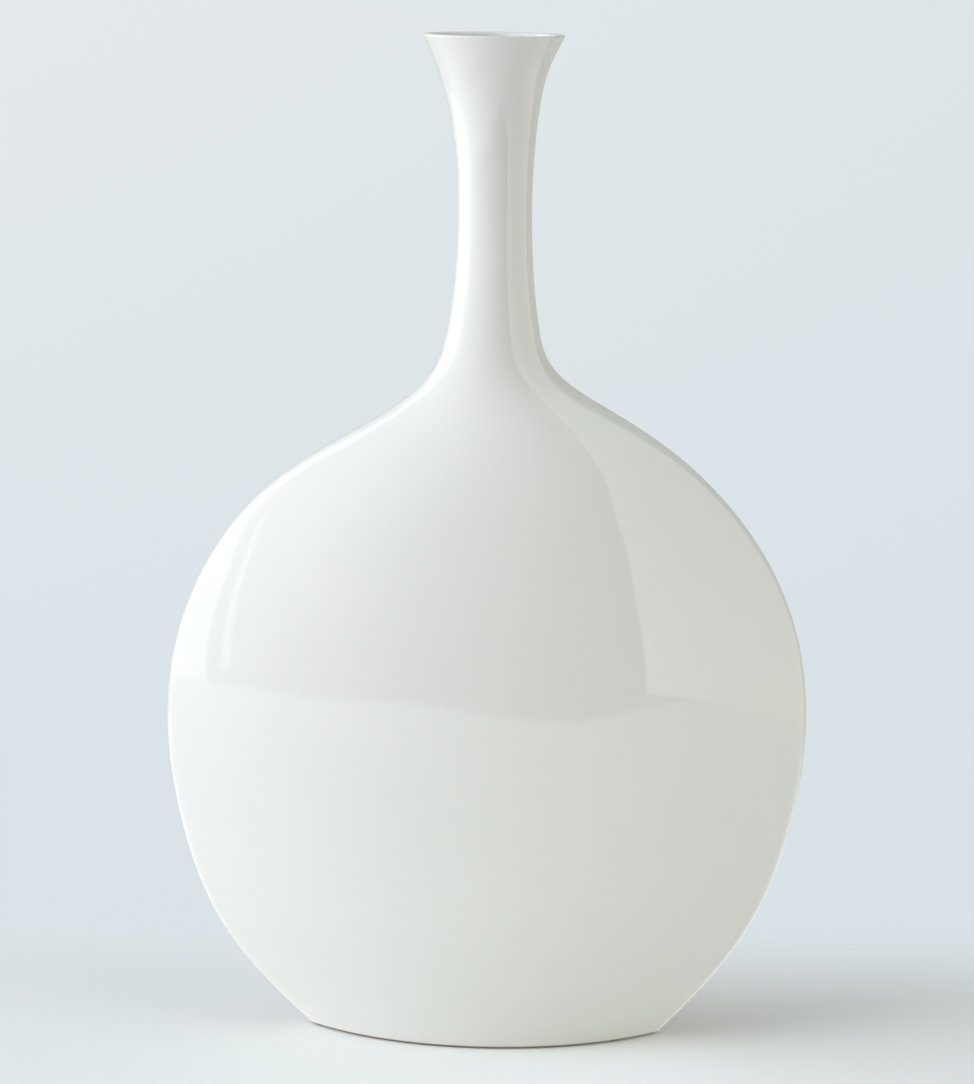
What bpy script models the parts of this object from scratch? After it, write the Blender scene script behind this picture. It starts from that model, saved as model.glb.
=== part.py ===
"""Porcelain bottle vase with a flattened, pointed-oval body and a slim round neck.

It is built the way such a vase is made by hand. Two dished half shells are joined edge to edge on the
vase's middle plane, and a floor plate is set between their lower ends. A hollow foot ring goes under
them, and a thrown neck with a flared mouth goes on top. A thin layer of slip fills each joint.

Frame: metres, +Z up, origin under the middle of the foot, X across the wide side, front towards -Y.
"""

import math

import bmesh
import bpy
import numpy as np

MM = 0.001

# Driving dimensions, in millimetres and degrees.
HEIGHT = 420.0
SLIP_JOINT = 0.3          # thickness of the slip between two pieces
BODY_WALL = 4.2           # wall of the half shells
NECK_WALL = 3.4           # wall of the neck
LIP_HEIGHT = 1.25         # the outside of the neck ends this far below the top of the lip
FOOT_RING_HEIGHT = 8.0
FOOT_BEVEL = 1.0          # small bevel where the foot meets the table
FOOT_RING_WIDTH_AT_FLOOR = 7.5
FOOT_RING_WIDTH_AT_TOP = 10.0
FOOT_RING_TIP_RADIUS = 4.0
FLOOR_THICKNESS = 5.0
NECK_JOINT_HEIGHT = 290.0

# The outer surface, as horizontal sections. Each one is a pointed oval: two shallow face arcs, each
# turning through the face angle on either side of its middle, meet in rounded edges of the edge radius.
# Where the edge radius is the half-width, the section is a circle. Lean is how far the section's
# middle stands to the right of the foot's, because the vase is hand-built.
#   height  half-width  edge radius  face angle  lean
STATIONS = (
    (0.0, 73.0, 6.0, 48.0, 1.6),
    (14.0, 87.1, 7.0, 45.8, 0.7),
    (40.0, 108.4, 9.0, 42.2, 0.0),
    (85.0, 127.6, 9.0, 38.6, 0.0),
    (130.0, 134.6, 9.0, 37.5, 0.0),
    (170.0, 130.1, 9.0, 37.5, 0.5),
    (205.0, 115.0, 9.0, 37.5, 0.9),
    (230.0, 95.0, 9.6, 37.5, 1.8),
    (248.0, 72.5, 11.2, 37.5, 4.2),
    (262.0, 50.0, 13.5, 37.5, 5.3),
    (277.0, 29.0, 16.0, 37.5, 2.2),
    (298.0, 19.2, 16.6, 37.5, 0.9),
    (345.0, 15.4, 15.4, 37.5, 0.9),
    (388.0, 18.5, 18.5, 37.5, 0.0),
    (407.0, 23.5, 23.5, 37.5, -0.7),
    (420.0, 29.6, 29.6, 37.5, -0.5),
)

# How finely the surfaces are divided.
FACE_STEPS = 8            # steps along each quarter of a face
EDGE_STEPS = 4            # steps along each quarter of a rounded edge
SHELL_LEVELS = 34
NECK_LEVELS = 24
QUARTER = FACE_STEPS + EDGE_STEPS


def natural_spline(xs, ys):
    """A smooth curve through the points (xs, ys): a cubic spline with free ends."""
    n = len(xs)
    h = np.diff(xs)
    system = np.eye(n)
    right = np.zeros(n)
    for i in range(1, n - 1):
        system[i, i - 1:i + 2] = h[i - 1], 2.0 * (h[i - 1] + h[i]), h[i]
        right[i] = 6.0 * ((ys[i + 1] - ys[i]) / h[i] - (ys[i] - ys[i - 1]) / h[i - 1])
    bend = np.linalg.solve(system, right)

    def curve(x):
        x = np.asarray(x, float)
        i = np.clip(np.searchsorted(xs, x) - 1, 0, n - 2)
        t = x - xs[i]
        slope = (ys[i + 1] - ys[i]) / h[i] - h[i] * (2.0 * bend[i] + bend[i + 1]) / 6.0
        return ys[i] + t * (slope + t * (bend[i] / 2.0 + t * (bend[i + 1] - bend[i]) / (6.0 * h[i])))

    return curve


TABLE = np.array(STATIONS)
HALF_WIDTH, EDGE_RADIUS, FACE_ANGLE, LEAN = (
    natural_spline(TABLE[:, 0], TABLE[:, k]) for k in (1, 2, 3, 4)
)


def pointed_oval(half_width, edge_radius, face_angle, lean):
    """The points of one section, from the right edge along the front to the left edge and back
    along the rear. The four arguments are arrays, one value for each section."""
    a, r, theta = (np.asarray(v, float)[:, None] for v in (half_width, edge_radius, face_angle))
    face = theta * np.linspace(0.0, 1.0, FACE_STEPS + 1)
    edge = theta + (math.pi / 2 - theta) * np.linspace(0.0, 1.0, EDGE_STEPS + 1)[1:]
    turn = np.concatenate([face, edge], axis=1)
    arc = (a - r) / np.sin(theta)
    on_arc = np.minimum(turn, theta)
    x = arc * np.sin(on_arc) + r * np.sin(turn)
    y = arc * (np.cos(on_arc) - np.cos(theta)) + r * np.cos(turn)
    y[:, -1] = 0.0
    xs = np.concatenate([x[:, ::-1], -x[:, 1:], -x[:, -2::-1], x[:, 1:-1]], axis=1)
    ys = np.concatenate([-y[:, ::-1], -y[:, 1:], y[:, -2::-1], y[:, 1:-1]], axis=1)
    return xs + np.asarray(lean, float)[:, None], ys


def half_depth(half_width, edge_radius, face_angle):
    return edge_radius + (half_width - edge_radius) * math.tan(face_angle / 2)


def face_angle_for(half_width, depth, edge_radius):
    return 2.0 * math.atan2(depth - edge_radius, half_width - edge_radius)


def section_values(heights):
    """Half-width, edge radius, face angle in radians and lean at each height."""
    a = HALF_WIDTH(heights)
    return a, np.minimum(EDGE_RADIUS(heights), a), np.radians(FACE_ANGLE(heights)), LEAN(heights)


def outer_surface(heights):
    """Points of the outer surface: one row for each height, one column for each place around it."""
    heights = np.asarray(heights, float)
    x, y = pointed_oval(*section_values(heights))
    z = np.repeat(heights[:, None], x.shape[1], axis=1)
    return np.stack([x, y, z], axis=-1)


def outward_normals(grid):
    around = np.roll(grid, -1, axis=1) - np.roll(grid, 1, axis=1)
    upward = np.gradient(grid, axis=0)
    normal = np.cross(upward, around)
    normal /= np.linalg.norm(normal, axis=-1, keepdims=True)
    middle = grid.mean(axis=1, keepdims=True)
    outward = (normal[..., :2] * (grid - middle)[..., :2]).sum(axis=-1, keepdims=True)
    return normal * np.sign(outward.mean())


def offset_surface(thickness, low, high):
    """The outer surface moved inwards along its normals, as a dense grid from low to high."""
    grid = outer_surface(np.linspace(low, high, 161))
    return grid - thickness * outward_normals(grid)


def at_heights(grid, heights):
    """A dense grid, cut level at the given heights (one list for all, or one list a column)."""
    columns = []
    for j in range(grid.shape[1]):
        z = heights if np.ndim(heights) == 1 else heights[:, j]
        columns.append(np.stack([
            np.interp(z, grid[:, j, 2], grid[:, j, 0]), np.interp(z, grid[:, j, 2], grid[:, j, 1]), z
        ], axis=-1))
    return np.stack(columns, axis=1)


def add_object(name, rows_list, closed_around, material, caps=()):
    """A closed body from rows of points. Each row is joined to the next one and the last row to the
    first, unless caps names the rows that a flat face closes. Open rows also get two end strips."""
    rows = [np.asarray(r) * MM for r in rows_list]
    bm = bmesh.new()
    verts = [[bm.verts.new(p) for p in row] for row in rows]
    count = len(verts[0])
    pairs = list(zip(verts, verts[1:])) + ([] if caps else [(verts[-1], verts[0])])
    for lower, upper in pairs:
        for j in range(count if closed_around else count - 1):
            k = (j + 1) % count
            bm.faces.new((lower[j], lower[k], upper[k], upper[j]))
    for index in caps:
        bm.faces.new(verts[index])
    if not closed_around:
        # Each end strip joins the outer rows to the inner ones, which run back in the other order.
        half = len(verts) // 2
        for j in (0, count - 1):
            for i in range(half - 1):
                bm.faces.new((verts[i][j], verts[i + 1][j], verts[-2 - i][j], verts[-1 - i][j]))
    bmesh.ops.recalc_face_normals(bm, faces=bm.faces)
    mesh = bpy.data.meshes.new(name)
    bm.to_mesh(mesh)
    bm.free()
    for face in mesh.polygons:
        face.use_smooth = len(face.vertices) == 4 and abs(face.normal.z) < 0.999
    obj = bpy.data.objects.new(name, mesh)
    bpy.context.scene.collection.objects.link(obj)
    mesh.materials.append(material)
    return obj


def porcelain(name, colour, roughness, coat):
    material = bpy.data.materials.new(name)
    material.use_nodes = True
    shader = material.node_tree.nodes["Principled BSDF"]
    shader.inputs["Base Color"].default_value = (*colour, 1.0)
    shader.inputs["Roughness"].default_value = roughness
    shader.inputs["Metallic"].default_value = 0.0
    shader.inputs["IOR"].default_value = 1.5
    shader.inputs["Coat Weight"].default_value = coat
    shader.inputs["Coat Roughness"].default_value = 0.03
    return material


def glazed_porcelain(name):
    return porcelain(name, (0.84, 0.85, 0.82), 0.15, 1.0)


def bare_porcelain(name):
    return porcelain(name, (0.78, 0.74, 0.67), 0.6, 0.0)


def shell_top():
    return NECK_JOINT_HEIGHT - SLIP_JOINT / 2


def shell_bottom():
    return FOOT_RING_HEIGHT + SLIP_JOINT


def half_shell(name, front):
    """One dished half of the body, with a flat mating edge all along the vase's middle plane."""
    low, high = shell_bottom(), shell_top()
    heights = np.linspace(low, high, SHELL_LEVELS)
    outer = outer_surface(heights)
    inner = at_heights(offset_surface(BODY_WALL, 0.0, 300.0), heights)
    seam = 2 * QUARTER
    columns = list(range(0, seam + 1)) if front else list(range(seam, 4 * QUARTER)) + [0]
    outer, inner = outer[:, columns], inner[:, columns]
    for grid in (outer, inner):
        for edge in (0, -1):
            grid[:, edge, 1] = (-1 if front else 1) * SLIP_JOINT / 2
    rows = list(outer) + list(inner[::-1])
    return add_object(name, rows, False, glazed_porcelain(name + "_glaze"))


# Section of the lip, from the outside to the inside: outwards from the end of the neck's outer
# surface, and up from the top of the vase.
LIP_SECTION = (
    (0.16, -0.92), (0.20, -0.60), (0.10, -0.27), (-0.20, -0.05), (-0.60, 0.0),
    (-2.3, -0.03), (-2.9, -0.14), (-3.4, -0.37), (-3.76, -0.74),
)


def neck():
    """The round neck: its outside, the flat-topped lip of the flared mouth, and the bore."""
    low = NECK_JOINT_HEIGHT + SLIP_JOINT / 2
    high = HEIGHT - LIP_HEIGHT
    outer = outer_surface(np.linspace(low, high, NECK_LEVELS))
    dense = outer_surface(np.linspace(low - 12.0, high, 161))
    normals = outward_normals(dense)
    inside = dense - NECK_WALL * normals
    end, out = dense[-1], normals[-1].copy()
    out[:, 2] = 0.0
    out /= np.linalg.norm(out, axis=1, keepdims=True)
    lip_rows = []
    for reach, drop in LIP_SECTION:
        row = end + reach * out
        row[:, 2] = HEIGHT + drop
        lip_rows.append(row)
    inner = at_heights(inside, np.linspace(low, high, NECK_LEVELS))
    rows = list(outer) + lip_rows + list(inner[::-1])
    return add_object("neck", rows, True, glazed_porcelain("neck_glaze"))


def ring_row(height, inset, tip_radius):
    """A level oval inside the outer surface, inset by that much at the front and at the edges."""
    a, r, theta, lean = (float(v[0]) for v in section_values(np.array([height])))
    depth = half_depth(a, r, theta) - inset
    radius = min(tip_radius, r)
    width = a - inset
    angle = face_angle_for(width, depth, radius)
    x, y = pointed_oval([width], [radius], [angle], [lean])
    return np.stack([x[0], y[0], np.full(x.shape[1], height)], axis=-1)


def foot_ring():
    """The hollow foot: a bevelled bottom edge, a flat resting face and a recess inside."""
    top = FOOT_RING_HEIGHT
    outer = outer_surface([FOOT_BEVEL, 0.35 * top, 0.7 * top, top])
    bottom = ring_row(0.0, FOOT_BEVEL, FOOT_RING_TIP_RADIUS + 1.0)
    inner_top = ring_row(top, FOOT_RING_WIDTH_AT_TOP, FOOT_RING_TIP_RADIUS)
    inner_low = ring_row(FOOT_BEVEL, FOOT_RING_WIDTH_AT_FLOOR + FOOT_BEVEL, FOOT_RING_TIP_RADIUS)
    inner_bottom = ring_row(0.0, FOOT_RING_WIDTH_AT_FLOOR, FOOT_RING_TIP_RADIUS)
    rows = [bottom, *outer, inner_top, inner_low, inner_bottom]
    return add_object("foot_ring", rows, True, bare_porcelain("foot_ring_bare"))


def floor_plate():
    """The plate that closes the bottom, set between the shells on top of the foot ring."""
    low = shell_bottom()
    heights = np.linspace(low, low + FLOOR_THICKNESS, 3)
    rows = list(at_heights(offset_surface(BODY_WALL + SLIP_JOINT, 0.0, 60.0), heights))
    return add_object("floor_plate", rows, True, glazed_porcelain("floor_plate_glaze"), caps=(0, -1))


def main():
    for old in list(bpy.data.objects):
        bpy.data.objects.remove(old, do_unlink=True)
    half_shell("front_half_shell", True)
    half_shell("rear_half_shell", False)
    neck()
    foot_ring()
    floor_plate()


main()
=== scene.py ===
"""Looks for the porcelain vase: the glazed skin, the bare foot ring, a pale table, soft studio light and
the camera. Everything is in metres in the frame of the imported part."""

import math

import bmesh
import bpy
import numpy as np
from mathutils import Matrix, Vector, noise


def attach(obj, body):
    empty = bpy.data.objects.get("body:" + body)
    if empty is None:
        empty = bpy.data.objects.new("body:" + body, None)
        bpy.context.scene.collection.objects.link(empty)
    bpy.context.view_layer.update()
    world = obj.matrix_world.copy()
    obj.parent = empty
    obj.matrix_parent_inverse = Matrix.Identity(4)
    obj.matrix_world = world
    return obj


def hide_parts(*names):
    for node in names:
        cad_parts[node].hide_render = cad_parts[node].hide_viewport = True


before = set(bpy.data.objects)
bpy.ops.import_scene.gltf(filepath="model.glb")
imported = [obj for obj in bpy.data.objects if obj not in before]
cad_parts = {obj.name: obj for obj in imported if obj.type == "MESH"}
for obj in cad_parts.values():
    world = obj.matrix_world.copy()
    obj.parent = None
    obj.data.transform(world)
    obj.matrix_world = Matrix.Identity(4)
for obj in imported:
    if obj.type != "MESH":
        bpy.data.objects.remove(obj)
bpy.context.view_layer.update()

MM = 0.001

# ---------------------------------------------------------------------------------------------------
# Form of the vase, in millimetres and degrees. These are the sections that the part is built on. The
# half-widths and leans are not chosen by hand: a separate least-squares program fitted them, with the
# camera and the face angles near the foot, to the outline in the photo. The edge radii and the face
# angle of 37.5 degrees, and so the depth of the body, were chosen.
#   height  half-width  edge radius  face angle  lean
STATIONS = (
    (0.0, 73.0, 6.0, 48.0, 1.6),
    (14.0, 87.1, 7.0, 45.8, 0.7),
    (40.0, 108.4, 9.0, 42.2, 0.0),
    (85.0, 127.6, 9.0, 38.6, 0.0),
    (130.0, 134.6, 9.0, 37.5, 0.0),
    (170.0, 130.1, 9.0, 37.5, 0.5),
    (205.0, 115.0, 9.0, 37.5, 0.9),
    (230.0, 95.0, 9.6, 37.5, 1.8),
    (248.0, 72.5, 11.2, 37.5, 4.2),
    (262.0, 50.0, 13.5, 37.5, 5.3),
    (277.0, 29.0, 16.0, 37.5, 2.2),
    (298.0, 19.2, 16.6, 37.5, 0.9),
    (345.0, 15.4, 15.4, 37.5, 0.9),
    (388.0, 18.5, 18.5, 37.5, 0.0),
    (407.0, 23.5, 23.5, 37.5, -0.7),
    (420.0, 29.6, 29.6, 37.5, -0.5),
)
HEIGHT = 420.0
BODY_WALL = 4.2
NECK_WALL = 3.4
WALL_CHANGE = 250.0       # height at which the wall starts to thin towards the neck
WALL_CHANGE_LENGTH = 50.0
INNER_FLOOR = 13.3
UNDERSIDE = 8.3

# The uneven surface: height of its broad and its fine waves.
BROAD_WAVE = 0.060
FINE_WAVE = 0.026

GLAZE_EDGE = 1.35         # height at which the glaze stops above the table
GLAZE_ROLL = 0.3          # radius of its rolled edge
RING_INSET = 0.75         # how far the bare ring lies inside the glazed outline
RING_WIDTH = 7.5
RING_ROUND = 0.8          # rounding of the ring's corners
RING_TOP = 7.9

FACE_STEPS = 40
EDGE_STEPS = 24


def natural_spline(xs, ys):
    """A smooth curve through the points (xs, ys): a cubic spline with free ends."""
    n = len(xs)
    h = np.diff(xs)
    system = np.eye(n)
    right = np.zeros(n)
    for i in range(1, n - 1):
        system[i, i - 1:i + 2] = h[i - 1], 2.0 * (h[i - 1] + h[i]), h[i]
        right[i] = 6.0 * ((ys[i + 1] - ys[i]) / h[i] - (ys[i] - ys[i - 1]) / h[i - 1])
    bend = np.linalg.solve(system, right)

    def curve(x):
        x = np.asarray(x, float)
        i = np.clip(np.searchsorted(xs, x) - 1, 0, n - 2)
        t = x - xs[i]
        slope = (ys[i + 1] - ys[i]) / h[i] - h[i] * (2.0 * bend[i] + bend[i + 1]) / 6.0
        return ys[i] + t * (slope + t * (bend[i] / 2.0 + t * (bend[i + 1] - bend[i]) / (6.0 * h[i])))

    return curve


SECTIONS = np.array(STATIONS)
HALF_WIDTH, EDGE_RADIUS, FACE_ANGLE, LEAN = (
    natural_spline(SECTIONS[:, 0], SECTIONS[:, k]) for k in (1, 2, 3, 4)
)


def pointed_oval(half_width, edge_radius, face_angle, lean):
    """One section: two face arcs that meet in rounded edges. Points run from the right edge along
    the front to the left edge and back along the rear."""
    a, r, theta = (np.asarray(v, float)[:, None] for v in (half_width, edge_radius, face_angle))
    face = theta * np.linspace(0.0, 1.0, FACE_STEPS + 1)
    edge = theta + (math.pi / 2 - theta) * np.linspace(0.0, 1.0, EDGE_STEPS + 1)[1:]
    turn = np.concatenate([face, edge], axis=1)
    arc = (a - r) / np.sin(theta)
    on_arc = np.minimum(turn, theta)
    x = arc * np.sin(on_arc) + r * np.sin(turn)
    y = arc * (np.cos(on_arc) - np.cos(theta)) + r * np.cos(turn)
    y[:, -1] = 0.0
    xs = np.concatenate([x[:, ::-1], -x[:, 1:], -x[:, -2::-1], x[:, 1:-1]], axis=1)
    ys = np.concatenate([-y[:, ::-1], -y[:, 1:], y[:, -2::-1], y[:, 1:-1]], axis=1)
    return xs + np.asarray(lean, float)[:, None], ys


def outer_surface(heights):
    heights = np.asarray(heights, float)
    a = HALF_WIDTH(heights)
    r = np.minimum(EDGE_RADIUS(heights), a)
    x, y = pointed_oval(a, r, np.radians(FACE_ANGLE(heights)), LEAN(heights))
    z = np.repeat(heights[:, None], x.shape[1], axis=1)
    return np.stack([x, y, z], axis=-1)


def surface_normals(heights):
    """Outward normals of the outer surface, from points a little above, below and beside."""
    heights = np.asarray(heights, float)
    step = 0.05
    upward = outer_surface(heights + step) - outer_surface(heights - step)
    here = outer_surface(heights)
    around = np.roll(here, -1, axis=1) - np.roll(here, 1, axis=1)
    normal = np.cross(upward, around)
    normal /= np.linalg.norm(normal, axis=-1, keepdims=True)
    middle = here.mean(axis=1, keepdims=True)
    outward = (normal[..., :2] * (here - middle)[..., :2]).sum(axis=-1)
    return normal * np.sign(outward.mean())


def wall(heights):
    """Wall thickness: thicker in the body than in the neck."""
    t = np.clip((np.asarray(heights, float) - WALL_CHANGE) / WALL_CHANGE_LENGTH, 0.0, 1.0)
    return BODY_WALL + (NECK_WALL - BODY_WALL) * t * t * (3.0 - 2.0 * t)


def hand_made(points, normals):
    """A faint unevenness of the wall, under 0.1 mm. It is a guess and follows no measured surface."""
    out = points.copy()
    flat = points.reshape(-1, 3)
    shift = np.empty(len(flat))
    for i, (x, y, z) in enumerate(flat):
        broad = noise.noise(Vector((x / 62.0, y / 62.0, z / 48.0 + 7.3)))
        fine = noise.noise(Vector((x / 21.0 + 3.1, y / 21.0, z / 17.0)))
        shift[i] = BROAD_WAVE * broad + FINE_WAVE * fine
    return out + shift.reshape(points.shape[:2])[..., None] * normals


def mesh_object(name, rows, caps=()):
    """A body from rows of points, each joined to the next. caps names rows closed by a flat face."""
    bm = bmesh.new()
    verts = [[bm.verts.new(p) for p in np.asarray(row) * MM] for row in rows]
    count = len(verts[0])
    pairs = list(zip(verts, verts[1:])) + ([] if caps else [(verts[-1], verts[0])])
    for lower, upper in pairs:
        for j in range(count):
            k = (j + 1) % count
            bm.faces.new((lower[j], lower[k], upper[k], upper[j]))
    for index in caps:
        bm.faces.new(verts[index])
    bmesh.ops.recalc_face_normals(bm, faces=bm.faces)
    mesh = bpy.data.meshes.new(name)
    bm.to_mesh(mesh)
    bm.free()
    mesh.polygons.foreach_set("use_smooth", [True] * len(mesh.polygons))
    obj = bpy.data.objects.new(name, mesh)
    bpy.context.scene.collection.objects.link(obj)
    return obj


# Section of the lip, from the outside to the inside: outwards from the end of the outer surface, and
# up from the top of the vase.
LIP_HEIGHT = 1.25
LIP_SECTION = (
    (0.07, -1.12), (0.16, -0.92), (0.20, -0.70), (0.19, -0.48), (0.10, -0.27), (-0.06, -0.11),
    (-0.28, -0.025), (-0.60, 0.0), (-1.45, 0.0), (-2.3, -0.03), (-2.9, -0.14), (-3.4, -0.37),
    (-3.76, -0.74),
)


def lip_rows():
    """The flat-topped lip with its rounded edges, from the end of the outer surface inwards."""
    end = outer_surface([HEIGHT - LIP_HEIGHT])[0]
    out = surface_normals([HEIGHT - LIP_HEIGHT])[0].copy()
    out[:, 2] = 0.0
    out /= np.linalg.norm(out, axis=1, keepdims=True)
    rows = []
    for reach, drop in LIP_SECTION:
        row = end + reach * out
        row[:, 2] = HEIGHT + drop
        rows.append(row)
    return rows


def bore_start():
    """The height on the outer surface that lies opposite the top of the bore."""
    tilt = math.atan(float(HALF_WIDTH(HEIGHT - 2.0) - HALF_WIDTH(HEIGHT - 4.0)) / 2.0)
    return HEIGHT - LIP_HEIGHT - NECK_WALL * math.sin(tilt)


def level_heights(low, high):
    """Heights of the outer rows: closer together at the foot, the shoulder and the mouth."""
    marks = np.array([low, 30.0, 120.0, 200.0, 240.0, 300.0, 340.0, 395.0, high])
    steps = (18, 40, 36, 30, 44, 22, 26, 22)
    parts = [np.linspace(a, b, n + 1)[:-1] for a, b, n in zip(marks, marks[1:], steps)]
    return np.concatenate(parts + [[high]])


def shrunk(row, share, height):
    middle = row[:, :2].mean(axis=0)
    flat = middle + (row[:, :2] - middle) * share
    return np.column_stack([flat, np.full(len(row), height)])


def glazed_skin():
    """Outside, lip, bore, inside and underside of the vase as one closed glazed body."""
    top = HEIGHT - LIP_HEIGHT
    heights = level_heights(GLAZE_EDGE, top)
    outer = outer_surface(heights)
    normals = surface_normals(heights)
    outside = hand_made(outer, normals)

    # The rolled lower edge of the glaze, and the hidden side that lies against the foot ring.
    edge, out = outside[0], normals[0]
    down = np.array([0.0, 0.0, -1.0]) + out[:, 2:3] * out
    down /= np.linalg.norm(down, axis=1, keepdims=True)
    centre = edge - GLAZE_ROLL * out
    turns = [math.pi * k / 8 for k in range(7, 0, -1)]
    roll = [centre + GLAZE_ROLL * (math.cos(t) * out + math.sin(t) * down) for t in turns]
    inner_side = [
        outer_surface([z])[0] - 2.0 * GLAZE_ROLL * surface_normals([z])[0] for z in (8.05, 4.0)
    ]
    over_ring = [outer_surface([8.1])[0] - d * surface_normals([8.1])[0] for d in (9.0, 5.0, 1.5)]
    under = [shrunk(over_ring[0], share, UNDERSIDE) for share in (0.05, 0.3, 0.6, 0.85, 0.96)]

    # The inside, from the lip down the bore to the floor with its rounded corner.
    inner_heights = np.concatenate([
        np.linspace(bore_start(), 300.0, 34), np.linspace(300.0, 225.0, 28)[1:],
        np.linspace(225.0, INNER_FLOOR + 8.0, 36)[1:],
    ])
    thickness = wall(inner_heights)[:, None, None]
    grid = outer_surface(inner_heights) - thickness * surface_normals(inner_heights)
    last = grid[-1]
    rise = last[:, 2].mean() - INNER_FLOOR
    corner = [
        shrunk(last, 1.0 - 0.11 * (1.0 - math.cos(t)), INNER_FLOOR + rise * (1.0 - math.sin(t)))
        for t in np.radians([22.5, 45.0, 67.5, 90.0])
    ]
    inside_floor = [shrunk(corner[-1], share, INNER_FLOOR) for share in (0.75, 0.45, 0.2, 0.05)]

    rows = under + over_ring + inner_side + roll + list(outside) + lip_rows()
    rows += list(grid) + corner + inside_floor
    return mesh_object("glazed_skin", rows, caps=(0, -1))


def bare_foot():
    """The unglazed ring that the vase stands on, with softened corners."""
    def inset(z, d):
        here = outer_surface([max(z, 0.1)])[0]
        n = surface_normals([max(z, 0.1)])[0]
        n[:, 2] = 0.0
        n /= np.linalg.norm(n, axis=1, keepdims=True)
        p = here - d * n
        p[:, 2] = z
        return p

    r = RING_ROUND
    rows = [inset(RING_TOP, RING_INSET), inset(4.0, RING_INSET), inset(1.6, RING_INSET)]
    for t in np.radians([0.0, 22.5, 45.0, 67.5, 90.0]):
        rows.append(inset(r - r * math.sin(t), RING_INSET + r * (1.0 - math.cos(t))))
    for d in (2.6, 4.2, 5.8):
        rows.append(inset(0.0, d))
    for t in np.radians([90.0, 67.5, 45.0, 22.5, 0.0]):
        rows.append(inset(r - r * math.sin(t), RING_WIDTH - r * (1.0 - math.cos(t))))
    rows += [inset(3.0, RING_WIDTH + 0.9), inset(RING_TOP, RING_WIDTH + 1.6), inset(RING_TOP, 4.5)]
    return mesh_object("bare_foot", rows)


# ---------------------------------------------------------------------------------------------------
# Materials


class Nodes:
    """Short names for building a node tree."""

    def __init__(self, tree):
        self.tree = tree
        tree.nodes.clear()

    def add(self, kind, settings=None, **inputs):
        node = self.tree.nodes.new(kind)
        for key, value in (settings or {}).items():
            setattr(node, key, value)
        for key, value in inputs.items():
            self.put(node, key.replace("_", " "), value)
        return node

    def put(self, node, socket, value):
        target = node.inputs[socket]
        if isinstance(value, bpy.types.NodeSocket):
            self.tree.links.new(value, target)
        else:
            target.default_value = value

    def noise(self, scale, detail, vector, roughness=0.5):
        node = self.add("ShaderNodeTexNoise", Scale=scale, Detail=detail, Roughness=roughness)
        self.put(node, "Vector", vector)
        return node.outputs["Fac"]

    def ramp(self, fac, low, high, to_low, to_high):
        node = self.add("ShaderNodeMapRange", {"clamp": True})
        for socket, value in zip(("Value", "From Min", "From Max", "To Min", "To Max"),
                                 (fac, low, high, to_low, to_high)):
            self.put(node, socket, value)
        return node.outputs["Result"]

    def mix(self, fac, a, b):
        node = self.add("ShaderNodeMix", {"data_type": "RGBA"})
        for index, value in ((0, fac), (6, a), (7, b)):
            if isinstance(value, bpy.types.NodeSocket):
                self.tree.links.new(value, node.inputs[index])
            else:
                node.inputs[index].default_value = value
        return node.outputs[2]


    def calculate(self, operation, *values):
        node = self.add("ShaderNodeMath", {"operation": operation})
        for index, value in enumerate(values):
            self.put(node, index, value)
        return node.outputs[0]

    def smooth(self, value, low, high):
        node = self.add("ShaderNodeMapRange", {"clamp": True, "interpolation_type": "SMOOTHSTEP"})
        for socket, number in (("Value", value), ("From Min", low), ("From Max", high),
                               ("To Min", 0.0), ("To Max", 1.0)):
            self.put(node, socket, number)
        return node.outputs["Result"]

    def axis(self, vector, name):
        node = self.add("ShaderNodeSeparateXYZ")
        self.put(node, "Vector", vector)
        return node.outputs[name]

    def length(self, vector):
        node = self.add("ShaderNodeVectorMath", {"operation": "LENGTH"})
        self.put(node, 0, vector)
        return node.outputs["Value"]

    def blend(self, share, first, second):
        """The first shader where share is 0, and the second one where it is 1."""
        node = self.add("ShaderNodeMixShader")
        for index, value in enumerate((share, first, second)):
            self.put(node, index, value)
        return node.outputs[0]

    def emission(self, colour, strength=1.0):
        return self.add("ShaderNodeEmission", Color=(*colour, 1.0), Strength=strength).outputs[0]

    def finish(self, shader, kind="ShaderNodeOutputMaterial"):
        self.put(self.add(kind), "Surface", shader)


def new_material(name):
    material = bpy.data.materials.new(name)
    material.use_nodes = True
    return material, Nodes(material.node_tree)


PINHOLE_RARITY = 0.965    # share of the cells that hold no pinhole
PINHOLE_DEPTH = 1.4       # against the height of the glaze's dimples


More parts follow.
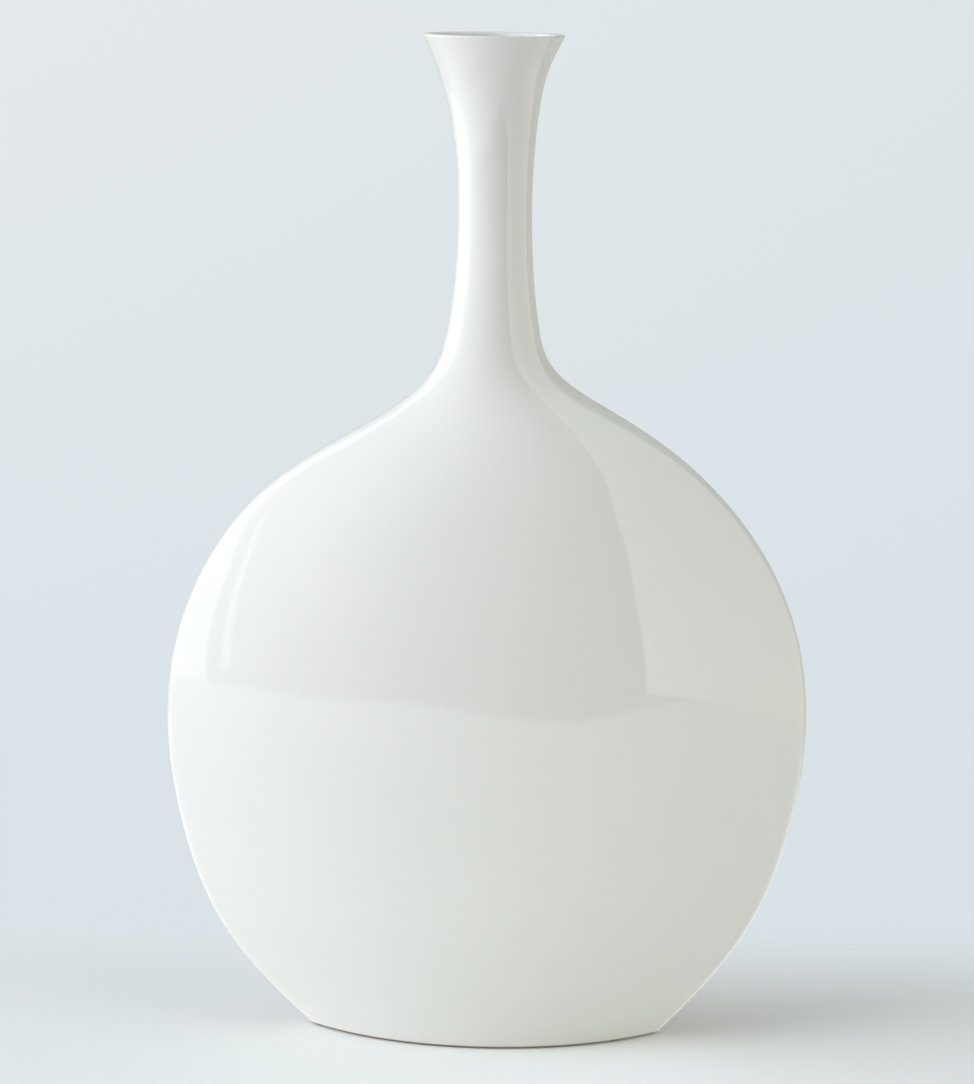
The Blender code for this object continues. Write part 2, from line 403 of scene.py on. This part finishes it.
def glaze_material():
    """White porcelain glaze: glossy, faintly uneven in tone and thickness, with a few pinholes."""
    material, n = new_material("porcelain_glaze")
    place = n.add("ShaderNodeTexCoord").outputs["Object"]
    broad = n.noise(7.0, 2.0, place)
    cloud = n.noise(34.0, 3.0, place, 0.55)
    dimple = n.noise(420.0, 2.0, place, 0.6)
    tone = n.mix(n.ramp(broad, 0.35, 0.65, 0.0, 1.0), (0.800, 0.812, 0.776, 1), (0.822, 0.828, 0.800, 1))
    tone = n.mix(n.ramp(cloud, 0.3, 0.7, 0.0, 0.35), tone, (0.792, 0.806, 0.778, 1))

    # Pinholes: tiny open bubbles, about five on each side of the vase. The photo doesn't show them.
    cells = n.add("ShaderNodeTexVoronoi", {"feature": "F1", "distance": "EUCLIDEAN"}, Scale=150.0)
    n.put(cells, "Vector", place)
    split = n.add("ShaderNodeSeparateColor")
    n.put(split, "Color", cells.outputs["Color"])
    chosen = n.calculate("GREATER_THAN", split.outputs["Red"], PINHOLE_RARITY)
    hole = n.ramp(cells.outputs["Distance"], 0.02, 0.055, 1.0, 0.0)
    pin = n.calculate("MULTIPLY", hole, chosen)
    # The pinholes' darker tone is painted shade inside the small holes.
    tone = n.mix(n.ramp(pin, 0.0, 1.0, 0.0, 0.25), tone, (0.62, 0.60, 0.54, 1))

    bump = n.add("ShaderNodeBump", Strength=0.004, Distance=0.0006)
    n.put(bump, "Height", n.calculate("MULTIPLY_ADD", pin, -PINHOLE_DEPTH, dimple))
    shader = n.add("ShaderNodeBsdfPrincipled", Metallic=0.0, IOR=1.5)
    n.put(shader, "Base Color", tone)
    n.put(shader, "Roughness", n.ramp(cloud, 0.3, 0.7, 0.030, 0.055))
    n.put(shader, "Normal", bump.outputs["Normal"])
    n.finish(shader.outputs[0])
    return material


def bare_material():
    """Unglazed porcelain: matte, slightly warm, gritty, and dark where it meets the table: some wear, and
    mostly painted contact shade.
    """
    material, n = new_material("bare_porcelain")
    place = n.add("ShaderNodeTexCoord").outputs["Object"]
    grain = n.noise(900.0, 3.0, place, 0.65)
    patch = n.noise(60.0, 3.0, place)
    tone = n.mix(n.ramp(patch, 0.35, 0.65, 0.0, 1.0), (0.70, 0.64, 0.54, 1), (0.80, 0.77, 0.70, 1))
    tone = n.mix(n.ramp(grain, 0.55, 0.75, 0.0, 0.45), tone, (0.42, 0.36, 0.28, 1))
    # Painted contact shade: the bare foot turns nearly black towards the table, with a little wear in it.
    contact_shade_and_wear = n.ramp(n.axis(place, "Z"), 0.0004, 0.0016, 0.95, 0.0)
    tone = n.mix(contact_shade_and_wear, tone, (0.13, 0.11, 0.085, 1))
    bump = n.add("ShaderNodeBump", Strength=0.5, Distance=0.0002)
    n.put(bump, "Height", grain)
    shader = n.add("ShaderNodeBsdfPrincipled", Metallic=0.0, IOR=1.5)
    n.put(shader, "Base Color", tone)
    n.put(shader, "Roughness", n.ramp(grain, 0.3, 0.7, 0.62, 0.85))
    n.put(shader, "Normal", bump.outputs["Normal"])
    n.finish(shader.outputs[0])
    return material


# ---------------------------------------------------------------------------------------------------
# Table, backdrop and light. The real lights and surroundings are unknown, and these stand in for them.
# Least squares set the colours and strengths of all that glows or shines here, so that renders of each
# light alone add up to the photo's brightness. Some were changed after that.

FLOOR_RADIUS = 2.4
BOUNCE_DROP = 0.0001      # how far the floor that shades the vase lies under the one the camera sees
FADE_BEHIND = (0.04, 0.24)    # where the seen floor thins out behind the vase
FADE_FAR = (0.9, 2.3)         # and where it does so far from the vase

# Front edge of the table as the glaze mirrors it, as (x, y). A separate program traced the wavy edge in
# the photo's reflection back onto the table, and the places were rounded to a centimetre.
TABLE_FRONT = (
    (-2.6, -0.45), (-2.03, -0.63), (-1.71, -0.83), (-1.33, -1.02), (-0.89, -1.08), (-0.63, -1.21),
    (-0.36, -1.30), (-0.12, -1.15), (0.05, -1.04), (0.21, -0.97), (0.36, -0.89), (0.56, -0.97),
    (0.83, -1.07), (1.00, -1.02), (1.5, -0.98), (2.6, -0.95),
)
TABLE_BACK = 0.35


def floor_material(fade):
    """Matte pale table top. With fade, it thins out to nothing away from the vase."""
    material, n = new_material("pale_floor" if fade else "pale_table")
    place = n.add("ShaderNodeTexCoord").outputs["Object"]
    paper = n.noise(240.0, 3.0, place)
    tone = n.mix(paper, (0.78, 0.80, 0.79, 1), (0.80, 0.82, 0.81, 1))
    shader = n.add("ShaderNodeBsdfPrincipled", Roughness=0.7, Metallic=0.0)
    n.put(shader, "Base Color", tone)
    surface = shader.outputs[0]
    if fade:
        behind = n.smooth(n.axis(place, "Y"), *FADE_BEHIND)
        far = n.smooth(n.length(place), *FADE_FAR)
        clear = n.add("ShaderNodeBsdfTransparent")
        surface = n.blend(n.calculate("MAXIMUM", behind, far), surface, clear.outputs[0])
    n.finish(surface)
    return material


def polygon_object(name, points, material):
    mesh = bpy.data.meshes.new(name)
    mesh.from_pydata([tuple(p) for p in points], [], [tuple(range(len(points)))])
    mesh.materials.append(material)
    obj = bpy.data.objects.new(name, mesh)
    bpy.context.scene.collection.objects.link(obj)
    return obj


def show_to(obj, camera=True, diffuse=True, glossy=True, shadow=True):
    obj.visible_camera = camera
    obj.visible_diffuse = diffuse
    obj.visible_glossy = glossy
    obj.visible_transmission = diffuse
    obj.visible_shadow = shadow


def make_floor():
    """The table top: one surface for the camera, and one just under it that lights the vase."""
    ring = [(FLOOR_RADIUS * math.cos(t), FLOOR_RADIUS * math.sin(t))
            for t in np.linspace(0.0, 2.0 * math.pi, 97)[:-1]]
    floor = polygon_object("floor", [(x, y, 0.0) for x, y in ring], floor_material(True))
    show_to(floor, diffuse=False, glossy=False, shadow=False)
    low_ring = [(x, y, -BOUNCE_DROP) for x, y in ring]
    under = polygon_object("floor_bounce", low_ring, floor_material(False))
    show_to(under, camera=False, glossy=False)


# The table's brightness in the glaze, left and right of the vase, near it and far from it.
TABLE_LEFT_NEAR = (1.420, 1.420, 1.350)
TABLE_RIGHT_NEAR = (1.250, 1.250, 1.190)
TABLE_LEFT_FAR = (1.250, 1.250, 1.250)
TABLE_RIGHT_FAR = (1.200, 1.200, 1.200)
SIDE_CHANGE = 0.28            # the change from left to right ends this far on each side
DISTANCE_CHANGE = (0.10, 0.34)    # where the change from near to far begins and ends


def make_mirrored_table():
    """The table's twin with its wavy front edge, which only reflections see."""
    material, n = new_material("table_glow")
    place = n.add("ShaderNodeTexCoord").outputs["Object"]
    rightness = n.ramp(n.axis(place, "X"), -SIDE_CHANGE, SIDE_CHANGE, 0.0, 1.0)
    farness = n.ramp(n.length(place), *DISTANCE_CHANGE, 0.0, 1.0)
    near = n.blend(rightness, n.emission(TABLE_LEFT_NEAR), n.emission(TABLE_RIGHT_NEAR))
    far = n.blend(rightness, n.emission(TABLE_LEFT_FAR), n.emission(TABLE_RIGHT_FAR))
    n.finish(n.blend(farness, near, far))
    points = np.array(TABLE_FRONT)
    xs = np.linspace(points[0, 0], points[-1, 0], 241)
    outline = [(x, float(y), 0.0) for x, y in zip(xs, np.interp(xs, points[:, 0], points[:, 1]))]
    outline += [(points[-1, 0], TABLE_BACK, 0.0), (points[0, 0], TABLE_BACK, 0.0)]
    table = polygon_object("table_in_glaze", outline, material)
    show_to(table, camera=False, diffuse=False, shadow=False)


def glow(name, colour, strength):
    material, n = new_material(name)
    n.finish(n.emission(colour, strength))
    return material


def card(name, corners, colour, strength):
    """A flat glowing card that is only mirrored in the glaze."""
    obj = polygon_object(name, corners, glow(name + "_glow", colour, strength))
    show_to(obj, camera=False, diffuse=False, shadow=False)


SWEEP_COLOUR = (0.957, 1.000, 0.824)
SWEEP_STRENGTH = 0.568


def make_sweep():
    """The pale backdrop behind the vase, which curves up from the table. It is seen in the glaze."""
    depth, radius, height, side = TABLE_BACK, 0.35, 2.2, 2.2
    profile = [(depth, 0.0)]
    profile += [(depth + radius * math.sin(t), radius * (1.0 - math.cos(t)))
                for t in np.linspace(0.0, math.pi / 2, 13)[1:]]
    profile.append((depth + radius, height))
    verts = [(x, y, z) for y, z in profile for x in (-side, side)]
    faces = [(2 * i, 2 * i + 1, 2 * i + 3, 2 * i + 2) for i in range(len(profile) - 1)]
    mesh = bpy.data.meshes.new("sweep")
    mesh.from_pydata(verts, [], faces)
    mesh.materials.append(glow("sweep_glow", SWEEP_COLOUR, SWEEP_STRENGTH))
    obj = bpy.data.objects.new("sweep", mesh)
    bpy.context.scene.collection.objects.link(obj)
    show_to(obj, camera=False, diffuse=False, shadow=False)


# Soft light from around the vase, as broad lobes: azimuth from the front towards the right, elevation,
# colour.
ROOM_LOBES = (
    (-90, 12, (3.124, 3.085, 3.150)),
    (-60, 12, (1.104, 0.919, 0.941)),
    (120, 12, (1.441, 1.395, 1.405)),
    (-60, 42, (2.302, 2.632, 2.930)),
    (30, 42, (0.215, 0.184, 0.091)),
    (60, 42, (1.367, 1.334, 1.117)),
    (90, 42, (0.017, 0.000, 0.000)),
    (120, 42, (0.058, 0.000, 0.060)),
    (0, 90, (0.802, 1.037, 1.239)),
)
# What the glaze mirrors instead: lobes of the same form, and a glow from everywhere.
MIRRORED_LOBES = (
    (-150, 8, (1.080, 1.100, 1.100)),
    (-120, 8, (1.080, 1.100, 1.100)),
    (-60, 8, (0.250, 0.250, 0.260)),
    (-30, 8, (0.100, 0.100, 0.100)),
    (-135, 40, (1.080, 1.100, 1.100)),
    (-45, 40, (0.300, 0.330, 0.360)),
    (0, 40, (0.338, 0.326, 0.262)),
    (45, 40, (0.150, 0.112, 0.082)),
    (90, 40, (2.337, 2.392, 2.388)),
    (135, 40, (0.009, 0.000, 0.000)),
)
MIRRORED_EVERYWHERE = (0.097, 0.000, 0.000)
LOBE_SHARPNESS = 12
DOME_RADIUS = 7.0


def add_lobes(n, kind, lobes, direction, everywhere=(0.0, 0.0, 0.0)):
    """One shader for a glow from everywhere and these lobes, each of which falls off around its
    direction."""
    total = n.add(kind, Color=(*everywhere, 1.0), Strength=1.0).outputs[0]
    dark = n.add(kind, Strength=0.0).outputs[0]
    for azimuth, elevation, colour in lobes:
        a, e = math.radians(azimuth), math.radians(elevation)
        dot = n.add("ShaderNodeVectorMath", {"operation": "DOT_PRODUCT"})
        n.put(dot, 0, direction)
        n.put(dot, 1, (math.sin(a) * math.cos(e), -math.cos(a) * math.cos(e), math.sin(e)))
        ahead = n.calculate("MAXIMUM", dot.outputs["Value"], 0.0)
        falloff = n.calculate("POWER", ahead, LOBE_SHARPNESS)
        light = n.add(kind, Color=(*colour, 1.0), Strength=1.0).outputs[0]
        both = n.add("ShaderNodeAddShader")
        n.put(both, 0, total)
        n.put(both, 1, n.blend(falloff, dark, light))
        total = both.outputs[0]
    return total


# The wall that the camera sees: its tone low and high, on the left and on the right. Its darker lower and
# right parts are painted shade.
WALL_LEFT = ((0.700, 0.768, 0.808, 1), (0.775, 0.815, 0.845, 1))
WALL_RIGHT = ((0.684, 0.755, 0.795, 1), (0.722, 0.780, 0.808, 1))


def make_world():
    """A soft room that lights everything, and a pale wall as the camera sees it, with painted shade."""
    world = bpy.data.worlds.new("studio")
    bpy.context.scene.world = world
    world.use_nodes = True
    world.cycles_visibility.glossy = False
    n = Nodes(world.node_tree)
    direction = n.add("ShaderNodeTexCoord").outputs["Generated"]
    room = add_lobes(n, "ShaderNodeBackground", ROOM_LOBES, direction)
    rise = n.ramp(n.axis(direction, "Z"), -0.20, -0.03, 0.0, 1.0)
    rightness = n.ramp(n.axis(direction, "X"), -0.16, 0.055, 0.0, 1.0)
    # Painted shade: the wall is darker low down and on the right.
    wall_tone_and_shade = n.mix(rightness, n.mix(rise, *WALL_LEFT), n.mix(rise, *WALL_RIGHT))
    seen = n.add("ShaderNodeBackground", Strength=1.0)
    n.put(seen, "Color", wall_tone_and_shade)
    path = n.add("ShaderNodeLightPath")
    n.finish(n.blend(path.outputs["Is Camera Ray"], room, seen.outputs[0]), "ShaderNodeOutputWorld")


def make_dome():
    """A large shell around the vase that only reflections see."""
    material, n = new_material("room_glow")
    place = n.add("ShaderNodeTexCoord").outputs["Object"]
    unit = n.add("ShaderNodeVectorMath", {"operation": "NORMALIZE"})
    n.put(unit, 0, place)
    n.finish(add_lobes(n, "ShaderNodeEmission", MIRRORED_LOBES, unit.outputs[0], MIRRORED_EVERYWHERE))
    bm = bmesh.new()
    bmesh.ops.create_icosphere(bm, subdivisions=4, radius=DOME_RADIUS)
    mesh = bpy.data.meshes.new("room")
    bm.to_mesh(mesh)
    bm.free()
    mesh.materials.append(material)
    obj = bpy.data.objects.new("room", mesh)
    bpy.context.scene.collection.objects.link(obj)
    show_to(obj, camera=False, diffuse=False, shadow=False)


# The cards, in metres. Their corners were traced back from the edges of the photo's reflections by a
# separate program and then moved by hand. Both left cards stand in one upright plane and are (y, z).
LEFT_PLANE = -0.85
# Tall card on the left, from beside the vase to well behind it.
LEFT_BOX = (
    (-0.256, 0.095), (1.3, 0.095), (1.3, 1.6), (0.55, 1.6), (0.17, 1.0), (0.05, 0.81),
    (-0.035, 0.65), (-0.12, 0.53), (-0.195, 0.40), (-0.231, 0.24),
)
# Thin bright line in front of it.
LEFT_LINE = (
    (-0.365, 0.125), (-0.322, 0.125), (-0.288, 0.28), (-0.252, 0.40), (-0.209, 0.50),
    (-0.098, 0.68), (-0.118, 0.68), (-0.238, 0.50), (-0.286, 0.40), (-0.326, 0.28),
)
# Card close by on the right. Its lower edge slopes down to the table towards the rear.
RIGHT_CARD = (
    (0.302, -0.362, 0.118), (0.381, -0.232, 0.111), (0.430, -0.152, 0.085), (0.500, -0.037, 0.055),
    (0.740, 0.357, 0.001), (0.740, 0.357, 1.2), (0.406, -0.191, 1.2), (0.359, -0.268, 0.80),
    (0.349, -0.285, 0.70), (0.336, -0.3065, 0.60), (0.332, -0.3125, 0.55), (0.325, -0.324, 0.50),
    (0.3124, -0.345, 0.437), (0.3093, -0.350, 0.36), (0.302, -0.362, 0.30),
)
# Narrow strip far in front.
FRONT_STRIP = (
    (0.186, -1.487, 0.44), (0.206, -1.487, 0.44), (0.206, -1.487, 0.72), (0.186, -1.487, 0.72),
)


def make_cards():
    """The glowing cards around the vase that only the glaze mirrors."""
    card("left_box", [(LEFT_PLANE, y, z) for y, z in LEFT_BOX], (0.950, 0.990, 1.000), 2.100)
    card("left_line", [(LEFT_PLANE, y, z) for y, z in LEFT_LINE], (0.969, 1.000, 1.000), 1.600)
    card("right_card", RIGHT_CARD, (1.000, 1.000, 0.960), 1.750)
    card("front_strip", FRONT_STRIP, (0.950, 1.000, 1.000), 0.600)


# A light that lies on the table and shines up: its middle, size, colour and power.
FILL_MIDDLE = (0.35, -0.40, 0.001)
FILL_SIZE = (0.60, 0.55)
FILL_COLOUR = (0.854, 0.847, 1.000)
FILL_POWER = 0.3409
# Upright lights: name, the two ends on the table, lowest and highest edge, colour and power.
PANELS = (
    ("left_high", (-0.85, -0.30, -0.85, 0.80), (0.35, 1.20), (0.000, 0.000, 1.000), 0.0870),
    ("left_front_high", (-0.50, -0.75, -0.80, -0.30), (0.38, 0.90), (0.940, 0.931, 1.000), 1.9412),
    ("right_low", (0.302, -0.362, 0.62, 0.16), (0.02, 0.26), (0.959, 1.000, 0.855), 0.1635),
    ("front_low", (-0.10, -0.55, 0.42, -0.46), (0.01, 0.22), (1.000, 0.809, 0.025), 0.0869),
)


def soft_light(name, matrix, size, colour, power):
    """A rectangular light that shines on everything but isn't seen or mirrored itself."""
    light = bpy.data.lights.new(name, "AREA")
    light.shape = "RECTANGLE"
    light.size, light.size_y = size
    light.color = colour
    light.energy = power
    obj = bpy.data.objects.new(name, light)
    obj.matrix_world = matrix
    obj.visible_camera = False
    obj.visible_glossy = False
    bpy.context.scene.collection.objects.link(obj)


def make_soft_lights():
    """The area lights: one that lies on the table, and the upright ones around the vase."""
    upward = Matrix.Rotation(math.pi, 4, "X")
    soft_light("fill_right", Matrix.Translation(FILL_MIDDLE) @ upward, FILL_SIZE, FILL_COLOUR, FILL_POWER)
    for name, (x, y, other_x, other_y), (low, high), colour, power in PANELS:
        along = Vector((other_x - x, other_y - y, 0.0))
        middle = Vector(((x + other_x) / 2, (y + other_y) / 2, (low + high) / 2))
        size = (along.length, high - low)
        along.normalize()
        rise = Vector((0.0, 0.0, 1.0))
        away = along.cross(rise)
        if away.dot(middle) < 0.0:
            along, away = -along, -away
        axes = Matrix((along, rise, away)).transposed().to_4x4()
        soft_light(name, Matrix.Translation(middle) @ axes, size, colour, power)


# The camera: metres and radians. The same least-squares program fitted its height, aim and lens to the
# outline. The distance and the turn were chosen, because the fit hardly tells distances apart.
CAMERA_DISTANCE = 1.85
CAMERA_HEIGHT = 0.48246
CAMERA_TURN = math.radians(3.0)
CAMERA_SHIFT = 0.0012         # to the right
HEADING_PAST_AXIS = 0.00086321
CAMERA_PITCH = 0.14695583
CAMERA_ROLL = 0.01490554
CAMERA_LENS = 148.41


def make_camera():
    """Camera a little to the right of the front and slightly above, looking down."""
    distance, turn, pitch, roll = CAMERA_DISTANCE, CAMERA_TURN, CAMERA_PITCH, CAMERA_ROLL
    heading = turn + HEADING_PAST_AXIS
    place = Vector((distance * math.sin(turn) + CAMERA_SHIFT, -distance * math.cos(turn), CAMERA_HEIGHT))
    ahead = Vector((-math.sin(heading) * math.cos(pitch), math.cos(heading) * math.cos(pitch),
                    -math.sin(pitch)))
    right = Vector((math.cos(heading), math.sin(heading), 0.0))
    up = right.cross(ahead)
    x = math.cos(roll) * right + math.sin(roll) * up
    y = -math.sin(roll) * right + math.cos(roll) * up
    data = bpy.data.cameras.new("camera")
    data.lens = CAMERA_LENS
    data.sensor_width = 36.0
    camera = bpy.data.objects.new("camera", data)
    bpy.context.scene.collection.objects.link(camera)
    camera.matrix_world = Matrix.Translation(place) @ Matrix((x, y, -ahead)).transposed().to_4x4()
    bpy.context.scene.camera = camera


skin = glazed_skin()
skin.data.materials.append(glaze_material())
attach(skin, "root")
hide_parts("front_half_shell", "rear_half_shell", "neck", "floor_plate")

foot = bare_foot()
foot.data.materials.append(bare_material())
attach(foot, "root")
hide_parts("foot_ring")

make_floor()
make_mirrored_table()
make_sweep()
make_world()
make_dome()
make_cards()
make_soft_lights()
make_camera()
bpy.context.scene.view_settings.view_transform = "Standard"
